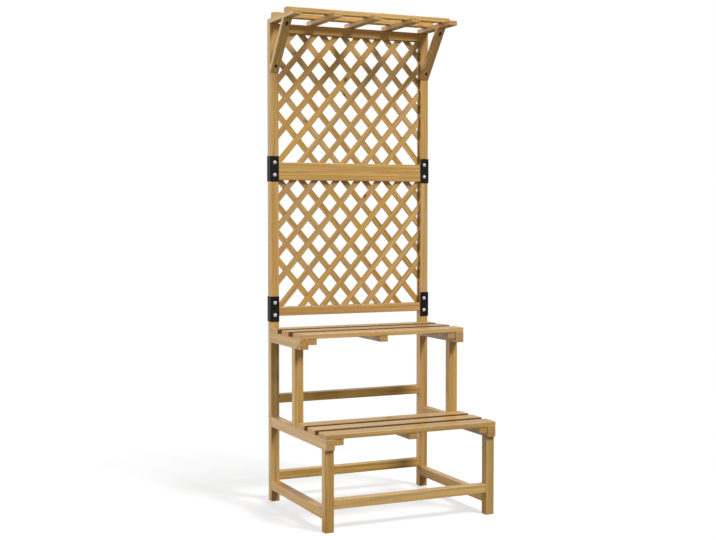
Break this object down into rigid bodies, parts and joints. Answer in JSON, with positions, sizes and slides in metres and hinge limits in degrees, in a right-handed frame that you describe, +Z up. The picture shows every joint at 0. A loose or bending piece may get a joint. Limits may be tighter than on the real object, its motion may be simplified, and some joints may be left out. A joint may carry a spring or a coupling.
{
  "type": "tiered plant stand",
  "caption": "Free-standing stepped wooden plant stand with slatted shelves, a diagonal lattice trellis behind them and a small braced pergola top to hang plants from.",
  "frame": {"origin": "on the floor, in the middle of the stand's width and depth", "axes": "+Z up, the front faces -Y, +X to the right seen from the front"},
  "size_m": [0.604, 0.505, 1.655],
  "materials": {
    "frame_timber": "golden stained softwood, planed, lengthwise grain",
    "slat_timber": "golden stained softwood, planed, lengthwise grain",
    "lattice_timber": "golden stained softwood strips",
    "dowel_timber": "bare beech",
    "black_steel": "black powder coat",
    "zinc_screw": "bright zinc plate",
    "wood_screw": "yellow zinc plate",
    "bronzed_screw": "dark bronzed"
  },
  "bodies": {
    "root": {"back_rail": "frame_timber", "base_post_left": "frame_timber", "base_post_right": "frame_timber", "base_top_rail": "frame_timber", "brace_left": "slat_timber", "brace_right": "slat_timber", "brace_screws": "bronzed_screw", "bracket_screws": "zinc_screw", "front_leg_left": "frame_timber", "front_leg_right": "frame_timber", "front_stretcher": "frame_timber", "lower_lattice_front": "lattice_timber", "lower_lattice_rear": "lattice_timber", "lower_panel_top_rail": "frame_timber", "lower_shelf_batten_centre": "slat_timber", "lower_shelf_batten_left": "slat_timber", "lower_shelf_batten_right": "slat_timber", "lower_shelf_rail_left": "frame_timber", "lower_shelf_rail_right": "frame_timber", "lower_shelf_slat_front": "slat_timber", "lower_shelf_slat_middle": "slat_timber", "lower_shelf_slat_rear": "slat_timber", "lower_stile_left": "frame_timber", "lower_stile_right": "frame_timber", "pergola_slat_front": "slat_timber", "pergola_slat_rear": "slat_timber", "pergola_slat_screws": "wood_screw", "rafter_centre": "slat_timber", "rafter_left": "slat_timber", "rafter_mid_left": "slat_timber", "rafter_mid_right": "slat_timber", "rafter_right": "slat_timber", "rafter_screws": "wood_screw", "rear_stretcher": "frame_timber", "shelf_fixing_screws": "wood_screw", "shelf_slat_screws": "wood_screw", "side_stretcher_left": "frame_timber", "side_stretcher_right": "frame_timber", "splice_bracket_lower_left": "black_steel", "splice_bracket_lower_right": "black_steel", "splice_bracket_upper_left": "black_steel", "splice_bracket_upper_right": "black_steel", "splice_dowels": "dowel_timber", "step_leg_left": "frame_timber", "step_leg_right": "frame_timber", "upper_lattice_front": "lattice_timber", "upper_lattice_rear": "lattice_timber", "upper_panel_bottom_rail": "frame_timber", "upper_panel_top_rail": "frame_timber", "upper_shelf_batten_centre": "slat_timber", "upper_shelf_batten_left": "slat_timber", "upper_shelf_batten_right": "slat_timber", "upper_shelf_rail_left": "frame_timber", "upper_shelf_rail_right": "frame_timber", "upper_shelf_slat_front": "slat_timber", "upper_shelf_slat_middle": "slat_timber", "upper_shelf_slat_rear": "slat_timber", "upper_stile_left": "frame_timber", "upper_stile_right": "frame_timber"}
  },
  "joints": []
}
